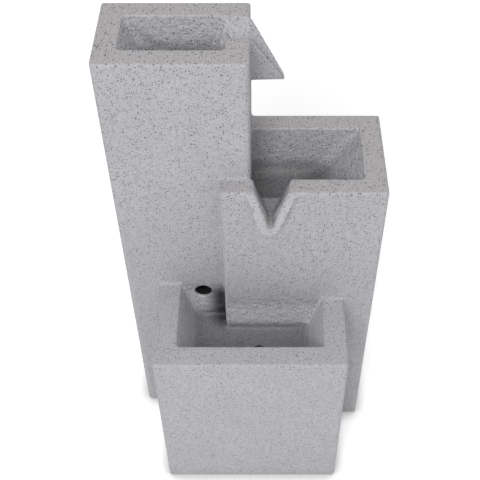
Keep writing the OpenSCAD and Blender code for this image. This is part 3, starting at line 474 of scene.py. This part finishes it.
class Shader:
    """Small helper for one procedural material."""

    def __init__(self, name):
        self.mat = bpy.data.materials.new(name)
        self.mat.use_nodes = True
        self.tree = self.mat.node_tree
        self.bsdf = self.tree.nodes["Principled BSDF"]
        self.place = self.add("ShaderNodeTexCoord").outputs["Object"]

    def feed(self, socket, value):
        """Links an input to an output, or gives it a plain value."""
        if isinstance(value, bpy.types.NodeSocket):
            self.tree.links.new(value, socket)
        else:
            socket.default_value = value

    def add(self, kind, ins=None, **props):
        node = self.tree.nodes.new(kind)
        for key, value in props.items():
            setattr(node, key, value)
        for key, value in (ins or {}).items():
            self.feed(node.inputs[key], value)
        return node

    def math(self, op, a, b=0.0, c=0.0):
        return self.add("ShaderNodeMath", {0: a, 1: b, 2: c}, operation=op).outputs[0]

    def times(self, value, *rest):
        """Product of all values."""
        for other in rest:
            value = self.math("MULTIPLY", value, other)
        return value

    def most(self, value, *rest):
        """Largest of all values."""
        for other in rest:
            value = self.math("MAXIMUM", value, other)
        return value

    def rest_of(self, share):
        return self.math("SUBTRACT", 1.0, share)

    def distance(self, value, at):
        return self.math("ABSOLUTE", self.math("SUBTRACT", value, at))

    def fit(self, value, a, b, low, high):
        """Value from the range a..b to low..high, soft at both ends."""
        ins = {"Value": value, "From Min": a, "From Max": b, "To Min": low, "To Max": high}
        return self.add("ShaderNodeMapRange", ins, interpolation_type="SMOOTHSTEP").outputs["Result"]

    def mix(self, share, a, b):
        return self.add("ShaderNodeMix", {0: share, 6: a, 7: b}, data_type="RGBA").outputs[2]

    def noise(self, scale, detail=3.0, rough=0.55, at=None):
        ins = {"Vector": at or self.place, "Scale": scale, "Detail": detail, "Roughness": rough}
        return self.add("ShaderNodeTexNoise", ins).outputs["Fac"]

    def cells(self, scale):
        """Scattered grains: distance from the nearest one's middle, and three random values of that grain."""
        node = self.add("ShaderNodeTexVoronoi", {"Vector": self.place, "Scale": scale})
        tone = self.add("ShaderNodeSeparateColor", {0: node.outputs["Color"]})
        return [node.outputs["Distance"], *tone.outputs]

    def finish(self, color, rough, height=None, bump=0.3, reach=0.001):
        self.feed(self.bsdf.inputs["Base Color"], color)
        self.feed(self.bsdf.inputs["Roughness"], rough)
        if height is not None:
            node = self.add("ShaderNodeBump", {"Height": height, "Strength": bump, "Distance": reach})
            self.feed(self.bsdf.inputs["Normal"], node.outputs["Normal"])
        return self.mat


# The three bowls and the notch in the middle pot's front rim, in metres: middle and half size in
# plan, floor, top, height and strength of the darker floor tone with painted shade, share of the painted
# light on the walls
BOWLS = [((-0.098, 0.080), (0.0735, 0.0415), 0.722, 0.800, 0.050, 0.9, 0.22),
         ((0.086, 0.0635), (0.086, 0.0575), 0.520, 0.600, 0.034, 1.0, 0.0),
         ((0.002, -0.052), (0.1185, 0.066), 0.278, 0.360, 0.018, 0.75, 0.5),
         ((0.031, -0.003), (0.025, 0.016), 0.550, 0.590, 0.034, 0.8, 0.0)]
RIMS = (0.8, 0.6, 0.36)
NICHE_CORNER = (-0.040, 0.010)
LOWER_SPOUT_X = 0.032


def granite():
    """Cast stone resin: grey ground, dark and light grains, warmer rims with painted shade on their tops,
    smoother bowl floors darkened by their own tone and painted shade, painted shade in the niche corner and
    down the lower spout, painted light on the walls of the top bowl and the basin.
    """
    g = Shader("granite")
    x, y, z = g.add("ShaderNodeSeparateXYZ", {0: g.place}).outputs
    normal = g.add("ShaderNodeNewGeometry").outputs["Normal"]
    side, _, up = g.add("ShaderNodeSeparateXYZ", {0: normal}).outputs
    side = g.fit(g.math("ABSOLUTE", side), 0.2, 0.7, 0.0, 1.0)
    # Rims: level faces close to the three top levels
    rim = g.most(*(g.math("COMPARE", z, level, 0.0022) for level in RIMS))
    rim = g.times(rim, g.fit(up, 0.6, 0.95, 0.0, 1.0))
    # Bowls: where a point lies inside one of them, and how close to its floor
    deep, inside, painted_light = 0.0, 0.0, 0.0
    for middle, half, floor, top, soft, dark, light_share in BOWLS:
        here = g.times(g.math("COMPARE", x, middle[0], half[0]), g.math("COMPARE", y, middle[1], half[1]),
                       g.math("COMPARE", z, (floor + top) / 2 - 0.003, (top - floor) / 2 + 0.001))
        inside = g.most(inside, here)
        painted_light = g.most(painted_light, g.times(here, light_share))
        # Painted shade with a darker floor tone: each bowl darkens over its lowest few centimetres
        deep = g.most(deep, g.times(here, g.fit(z, floor + 0.002, floor + soft, dark, 0.0)))
    # Painted shade in a curved band on the top bowl's front and back walls, lowest at its middle
    from_mid = g.times(g.math("ADD", x, 0.09), 1 / 0.07)
    curve = g.math("ADD", 0.744, g.times(g.math("POWER", from_mid, 2.0), 0.038))
    crescent_shade = g.fit(g.distance(z, curve), 0.002, 0.018, 0.42, 0.0)
    deep = g.most(deep, g.times(crescent_shade, g.rest_of(side), g.times(inside, g.math("GREATER_THAN", z, 0.7))))
    # Painted shade in the niche's inner corner, darkest close to the corner and low down
    away = g.math("SQRT", g.math("ADD", g.math("POWER", g.math("SUBTRACT", x, NICHE_CORNER[0]), 2.0),
                                 g.math("POWER", g.math("SUBTRACT", y, NICHE_CORNER[1]), 2.0)))
    corner_shade = g.times(g.fit(away, 0.008, 0.040, 1.0, 0.0), g.fit(z, 0.332, 0.366, 1.0, 0.0),
                    g.math("COMPARE", x, -0.090, 0.0505))
    # The lower spout's valley: a brownish tone with painted shade, darkest where it leaves the wall
    valley = g.times(g.math("COMPARE", y, -0.037, 0.0175), g.math("COMPARE", z, 0.565, 0.024),
                     g.fit(g.distance(x, LOWER_SPOUT_X), 0.002, 0.012, 1.0, 0.0),
                     g.fit(y, -0.052, -0.022, 0.0, 1.0), 0.75)
    # Ground colour with cloudy mottling, warmer on the rims with painted shade on their tops, painted light
    # on the walls of the top bowl and low in the basin, painted shade on the bowl floors, in the niche corner
    # and down the lower spout's valley
    cloud = g.noise(9.0, 3.0)
    mottle = g.noise(330.0, 5.0, 0.75)
    fine = g.noise(900.0, 2.0, 0.6)
    pale = g.fit(mottle, 0.38, 0.60, 0.0, 1.0)
    ground = g.mix(pale, (0.375, 0.373, 0.395, 1), (0.475, 0.472, 0.50, 1))
    ground = g.mix(g.fit(cloud, 0.35, 0.65, 0.0, 0.3), ground, (0.385, 0.38, 0.395, 1))
    # Level rims: a warmer tone, with painted shade that darkens the tops, more on the higher rims
    warm_shaded = g.mix(pale, (0.360, 0.338, 0.346, 1), (0.462, 0.437, 0.447, 1))
    rim_tint_and_shade = g.times(g.fit(cloud, 0.3, 0.6, 1.0, 0.7), g.fit(z, 0.37, 0.55, 0.4, 1.0))
    ground = g.mix(g.times(rim, rim_tint_and_shade), ground, warm_shaded)
    # Painted light: paler colour inside the top bowl, and on the basin's side walls and lower part
    low_wall = g.most(g.fit(z, 0.322, 0.356, 0.75, 0.0), g.math("GREATER_THAN", z, 0.5))
    ground = g.mix(g.times(painted_light, g.most(side, low_wall)), ground, (0.80, 0.80, 0.83, 1))
    # Bowl floors: their own darker tone with painted shade
    floor_tone_and_shade = g.mix(pale, (0.13, 0.13, 0.134, 1), (0.20, 0.199, 0.206, 1))
    ground = g.mix(deep, ground, floor_tone_and_shade)
    ground = g.mix(corner_shade, ground, (0.04, 0.04, 0.045, 1))
    ground = g.mix(valley, ground, (0.17, 0.155, 0.145, 1))
    # Light grains, then dark ones of three sizes: random value that picks them, core and edge, strength
    small = g.cells(430.0)
    light = g.times(g.fit(small[0], 0.22, 0.36, 1.0, 0.0), g.math("GREATER_THAN", small[3], 0.82), 0.45)
    ground = g.mix(light, ground, (0.64, 0.64, 0.66, 1))
    grain = 0.0
    for cells, pick, above, core, edge, strength in (
            (small, 1, 0.62, 0.28, 0.36, 0.75),
            (g.cells(250.0), 1, 0.72, 0.22, 0.28, 0.9),
            (g.cells(160.0), 2, 0.86, 0.15, 0.20, 0.95)):
        spot = g.times(g.fit(cells[0], core, edge, 1.0, 0.0), g.math("GREATER_THAN", cells[pick], above))
        grain = g.most(grain, g.times(spot, strength))
    grain = g.times(grain, g.fit(z, 0.30, 0.50, 0.75, 1.0))
    ground = g.mix(grain, ground, (0.045, 0.045, 0.055, 1))
    # Relief: fine pits all over, coarser on the bowls' walls
    height = g.math("ADD", g.times(fine, 0.35), g.times(mottle, 0.65))
    height = g.math("SUBTRACT", height, g.times(grain, 0.25))
    rough_wall = g.times(inside, g.rest_of(deep), g.noise(120.0, 4.0, 0.65), 14.0)
    height = g.math("ADD", height, rough_wall)
    sheen = g.math("ADD", g.fit(fine, 0.3, 0.7, 0.5, 0.66), g.times(deep, -0.1))
    return g.finish(ground, sheen, height, 0.5, 0.001)


def moulded(name, dark, pale, rough, grit=900.0, wear=0.3, reach=0.0003):
    """Moulded plastic or rubber: cloudy tone, fine grain, paler scuffs."""
    m = Shader(name)
    scuff = m.fit(m.noise(55.0, 6.0, 0.7), 0.55, 0.72, 0.0, wear)
    grain = m.noise(grit, 2.0)
    tone = m.mix(m.noise(30.0, 3.0), dark, pale)
    tone = m.mix(scuff, tone, tuple(0.5 * c + 0.12 for c in pale[:3]) + (1,))
    sheen = m.math("ADD", m.fit(grain, 0.3, 0.7, rough - 0.07, rough + 0.07), m.times(scuff, 0.3))
    return m.finish(tone, sheen, grain, 0.3, reach)


def metal(name, dark, pale, rough):
    """Turned or drawn metal: fine lines, dull patches."""
    m = Shader(name)
    stretched = m.add("ShaderNodeVectorMath", {0: m.place, 1: (1.0, 1.0, 14.0)}, operation="MULTIPLY")
    lines = m.noise(420.0, 4.0, 0.6, stretched.outputs[0])
    dull = m.fit(m.noise(70.0, 5.0, 0.65), 0.45, 0.7, 0.0, 1.0)
    tone = m.mix(dull, pale, dark)
    sheen = m.math("ADD", m.fit(lines, 0.3, 0.7, rough - 0.06, rough + 0.06), m.times(dull, 0.15))
    m.bsdf.inputs["Metallic"].default_value = 1.0
    return m.finish(tone, sheen, lines, 0.2, 0.0002)


def foam():
    """Open-cell foam: painted shade in the pores, slightly brown where dirt has settled."""
    m = Shader("open_cell_foam")
    pores = m.fit(m.cells(700.0)[0], 0.15, 0.6, 1.0, 0.0)
    tone = m.mix(pores, (0.05, 0.05, 0.055, 1), (0.006, 0.006, 0.007, 1))
    tone = m.mix(m.fit(m.noise(40.0, 4.0), 0.5, 0.7, 0.0, 0.5), tone, (0.055, 0.05, 0.035, 1))
    return m.finish(tone, 0.95, m.rest_of(pores), 0.9, 0.0012)


def vinyl():
    """Clear hose that has clouded a little."""
    m = Shader("clear_vinyl")
    haze = m.noise(60.0, 5.0, 0.6)
    tone = m.mix(m.fit(haze, 0.4, 0.7, 0.0, 1.0), (0.62, 0.66, 0.68, 1), (0.5, 0.52, 0.46, 1))
    m.bsdf.inputs["Transmission Weight"].default_value = 0.6
    m.bsdf.inputs["IOR"].default_value = 1.5
    return m.finish(tone, m.fit(haze, 0.3, 0.7, 0.12, 0.32), m.noise(260.0, 2.0), 0.15, 0.0004)


stone = granite()
finishes = {
    "granite_resin": stone,
    "black_plastic": moulded("black_moulding", (0.012, 0.012, 0.013, 1), (0.022, 0.022, 0.024, 1), 0.48),
    "dial_plastic": moulded("blue_moulding", (0.018, 0.065, 0.24, 1), (0.028, 0.088, 0.29, 1), 0.28,
                            wear=0.15),
    "impeller_plastic": moulded("white_moulding", (0.62, 0.62, 0.57, 1), (0.72, 0.72, 0.67, 1), 0.42,
                                wear=0.2),
    "rubber": moulded("black_rubber", (0.008, 0.008, 0.008, 1), (0.016, 0.016, 0.016, 1), 0.78, 500.0, 0.35,
                      0.0005),
    "sponge": foam(),
    "magnet": moulded("ferrite", (0.02, 0.019, 0.019, 1), (0.035, 0.033, 0.032, 1), 0.6, 700.0, 0.25),
    "shaft_ceramic": moulded("ceramic", (0.80, 0.80, 0.74, 1), (0.88, 0.88, 0.83, 1), 0.15, 1200.0, 0.08,
                             0.0001),
    "steel": metal("satin_steel", (0.36, 0.35, 0.34, 1), (0.60, 0.60, 0.61, 1), 0.3),
    "brass": metal("turned_brass", (0.38, 0.26, 0.10, 1), (0.65, 0.47, 0.18, 1), 0.32),
    "hose_vinyl": vinyl(),
}
for obj in castings:
    obj.data.materials.append(stone)
for part in frame["record"]["subparts"]:
    obj = frame["nodes"][part["node"]]
    obj.data.materials.clear()
    obj.data.materials.append(finishes[part["material_slot"]])

# Stage: white floor and surroundings, one key lamp, one wide lamp above. The emission and the strength
# that only the camera sees keep the white of the photograph's ground without lighting the part more.
FLOOR_GLOW = 0.32
SKY_LIGHT = 0.5
WHITE = (1, 1, 1, 1)
CONTACT_REACH = 0.03

bpy.ops.mesh.primitive_plane_add(size=12, location=(0, 0, 0))
floor = bpy.context.object
floor.name = "floor"
paper = Shader("floor_white")
# Painted contact shade: ambient occlusion darkens the floor's colour and its glow close to the part
contact_shade = paper.add("ShaderNodeAmbientOcclusion", {"Distance": CONTACT_REACH}).outputs["AO"]
contact_shade = paper.fit(contact_shade, 0.5, 1.0, 0.6, 1.0)
glow = paper.times(paper.add("ShaderNodeLightPath").outputs["Is Camera Ray"], FLOOR_GLOW, contact_shade)
paper.feed(paper.bsdf.inputs["Emission Strength"], glow)
paper.feed(paper.bsdf.inputs["Emission Color"], WHITE)
paper.feed(paper.bsdf.inputs["Specular IOR Level"], 0.0)
white = paper.mix(paper.noise(3.0, 2.0), (0.93, 0.93, 0.93, 1), (0.95, 0.95, 0.95, 1))
floor.data.materials.append(paper.finish(paper.mix(contact_shade, (0.02, 0.02, 0.02, 1), white), 0.9))

world = bpy.data.worlds.new("studio")
bpy.context.scene.world = world
world.use_nodes = True
background = world.node_tree.nodes["Background"]
background.inputs["Color"].default_value = WHITE
sky = world.node_tree.nodes.new("ShaderNodeMath")
sky.operation = "MAXIMUM"
sky.inputs[1].default_value = SKY_LIGHT
path = world.node_tree.nodes.new("ShaderNodeLightPath")
world.node_tree.links.new(path.outputs["Is Camera Ray"], sky.inputs[0])
world.node_tree.links.new(sky.outputs[0], background.inputs["Strength"])


def area(name, place, aim, size, power):
    """Square lamp at a place, turned to a point."""
    light = bpy.data.lights.new(name, "AREA")
    light.shape = "SQUARE"
    light.size = size
    light.energy = power
    obj = bpy.data.objects.new(name, light)
    bpy.context.scene.collection.objects.link(obj)
    obj.location = place
    obj.rotation_euler = (Vector(aim) - Vector(place)).to_track_quat("-Z", "Y").to_euler()


area("key", (-0.9, -4.6, 4.3), (0, 0, 0.3), 2.2, 168)
area("top", (0.0, -0.6, 4.2), (0, 0, 0.3), 6.0, 50)

# Camera fitted to the photograph: pixels of the image, focal length and optical axis in pixels
IMAGE = 480
FOCAL = 866.03
AXIS_X = 261.05
DOWN = 48.552
SENSOR = 36

cam_data = bpy.data.cameras.new("camera")
cam = bpy.data.objects.new("camera", cam_data)
bpy.context.scene.collection.objects.link(cam)
cam.location = (0.0184, -0.8761, 1.4708)
cam.rotation_euler = (math.radians(90 - DOWN), 0, 0)
cam_data.sensor_width = SENSOR
cam_data.lens = SENSOR * FOCAL / IMAGE
cam_data.shift_x = -(AXIS_X - IMAGE / 2) / IMAGE
cam_data.clip_end = 50
bpy.context.scene.camera = cam
bpy.context.scene.view_settings.view_transform = "Standard"
